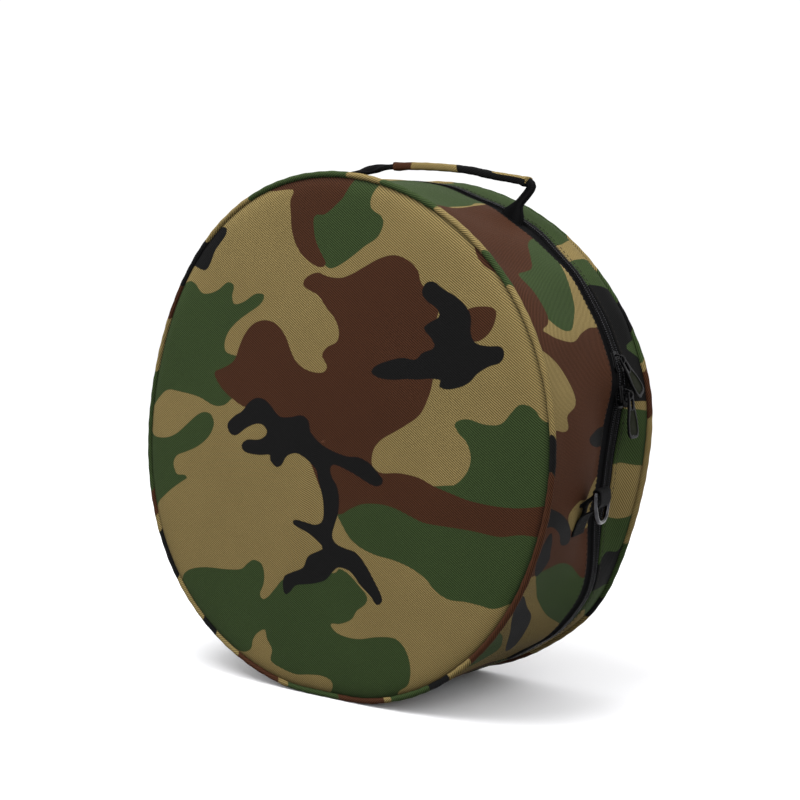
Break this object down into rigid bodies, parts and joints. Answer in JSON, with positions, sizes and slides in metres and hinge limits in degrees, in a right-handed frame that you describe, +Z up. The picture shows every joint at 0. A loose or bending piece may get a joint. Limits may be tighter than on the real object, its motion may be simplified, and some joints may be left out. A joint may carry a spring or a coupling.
{
  "type": "snare drum bag",
  "caption": "Round padded fabric bag for a snare drum, with a deep tray, a zipped rear lid, a webbing handle and two strap rings.",
  "frame": {"origin": "centre of the bag's box at floor level, under the bag as it stands on its rim", "axes": "+Z up, -Y out of the tray's round front panel, +Y out of the lid, +X to the right seen from the front"},
  "size_m": [0.4038, 0.149, 0.4116],
  "materials": {
    "camouflage_fabric": "matte",
    "piping_fabric": "matte",
    "foam": "matte",
    "lining": "matte",
    "seam_binding": "matte",
    "zipper_tape": "matte",
    "zipper_coil": "satin",
    "slider_metal": "satin",
    "ring_metal": "satin",
    "webbing": "matte"
  },
  "bodies": {
    "tray": {"front_panel": "camouflage_fabric", "front_panel_foam": "foam", "front_panel_lining": "lining", "front_gusset": "camouflage_fabric", "front_gusset_foam": "foam", "front_gusset_lining": "lining", "foot_panel": "camouflage_fabric", "foot_panel_foam": "foam", "foot_panel_lining": "lining", "foot_gusset": "camouflage_fabric", "foot_gusset_foam": "foam", "foot_gusset_lining": "lining", "front_piping": "piping_fabric", "front_binding": "seam_binding", "foot_piping": "piping_fabric", "foot_binding": "seam_binding", "zipper_tape_front": "zipper_tape", "zipper_coil_front": "zipper_coil", "hinge_panel": "camouflage_fabric", "handle_end_right": "webbing", "ring_tab_right": "webbing", "handle_end_left": "webbing", "ring_tab_left": "webbing"},
    "lid": {"lid_panel": "camouflage_fabric", "lid_panel_foam": "foam", "lid_panel_lining": "lining", "lid_gusset": "camouflage_fabric", "lid_gusset_foam": "foam", "lid_gusset_lining": "lining", "lid_piping": "piping_fabric", "lid_binding": "seam_binding", "zipper_tape_rear": "zipper_tape", "zipper_coil_rear": "zipper_coil"},
    "slider_upper": {"slider_upper": "slider_metal"},
    "pull_upper": {"pull_upper": "slider_metal"},
    "slider_lower": {"slider_lower": "slider_metal"},
    "pull_lower": {"pull_lower": "slider_metal"},
    "handle": {"handle_webbing": "webbing", "handle_sleeve": "camouflage_fabric"},
    "d_ring_right": {"d_ring_right": "ring_metal"},
    "d_ring_left": {"d_ring_left": "ring_metal"}
  },
  "joints": [
    {"name": "lid_opening", "type": "hinge", "parent": "tray", "child": "lid", "pos_m": [0, 0.0705, 0.01868], "axis": [-1, 0, 0], "range_deg": [0, 90]},
    {"name": "zip_upper", "type": "hinge", "parent": "tray", "child": "slider_upper", "pos_m": [0, 0.036, 0.1935], "axis": [0, -1, 0], "range_deg": [0, 218]},
    {"name": "zip_lower", "type": "hinge", "parent": "tray", "child": "slider_lower", "pos_m": [0, 0.036, 0.1935], "axis": [0, 1, 0], "range_deg": [0, 68.5]},
    {"name": "pull_upper_flip", "type": "hinge", "parent": "slider_upper", "child": "pull_upper", "pos_m": [0.18967, 0.036, 0.25881], "axis": [0.1677, -0.8572, -0.487], "range_deg": [0, 110]},
    {"name": "pull_lower_flip", "type": "hinge", "parent": "slider_lower", "child": "pull_lower", "pos_m": [0.19657, 0.036, 0.23349], "axis": [0, -1, 0], "range_deg": [0, 110]},
    {"name": "handle_lean", "type": "hinge", "parent": "tray", "child": "handle", "pos_m": [0, 0.0282, 0.3696], "axis": [1, 0, 0], "range_deg": [-35, 35]},
    {"name": "d_ring_right_swing", "type": "hinge", "parent": "tray", "child": "d_ring_right", "pos_m": [0.19829, -0.006, 0.16739], "axis": [0, -1, 0], "range_deg": [-8, 150]},
    {"name": "d_ring_left_swing", "type": "hinge", "parent": "tray", "child": "d_ring_left", "pos_m": [-0.19829, -0.006, 0.16739], "axis": [0, 1, 0], "range_deg": [-8, 150]}
  ]
}
